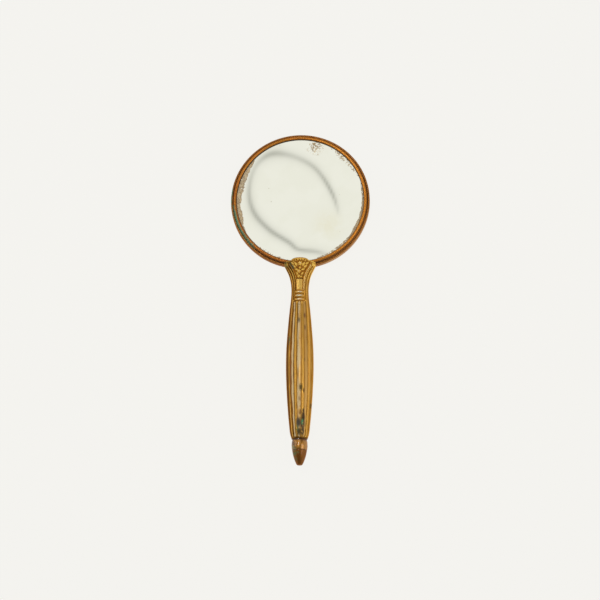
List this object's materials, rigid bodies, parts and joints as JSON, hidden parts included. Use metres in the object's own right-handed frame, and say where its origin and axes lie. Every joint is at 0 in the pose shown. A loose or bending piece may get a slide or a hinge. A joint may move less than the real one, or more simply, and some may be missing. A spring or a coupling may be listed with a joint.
{
  "type": "hand mirror",
  "caption": "Round hand mirror: silvered glass in a turned brass ring with a fluted, tapering brass handle and a floral fork.",
  "frame": {"origin": "centre of the round head, on the flat underside of its back pan", "axes": "+Z the way the glass faces, +Y from the handle towards the far end of the head, +X across the handle"},
  "size_m": [0.0942, 0.2293, 0.0176],
  "materials": {
    "ring_brass": "worn, warm brass with verdigris in places",
    "handle_brass": "aged gilt brass, dark in the hollows",
    "tip_brass": "red-brown aged brass",
    "pan_brass": "dull spun brass",
    "silvered_glass": "old silvered glass with blotched edges",
    "card": "plain brown card",
    "felt": "grey packing felt",
    "steel": "plain dull steel",
    "screw_brass": "turned brass"
  },
  "bodies": {
    "root": {"bezel_ring": "ring_brass", "back_pan": "pan_brass", "mirror_glass": "silvered_glass", "backing_card": "card", "packing_felt": "felt", "tang": "screw_brass", "tie_rod": "steel", "handle_front": "handle_brass", "handle_back": "handle_brass", "end_collar": "tip_brass", "finial_tip": "tip_brass", "head_screws": "screw_brass", "dowel_pins": "screw_brass"}
  },
  "joints": []
}
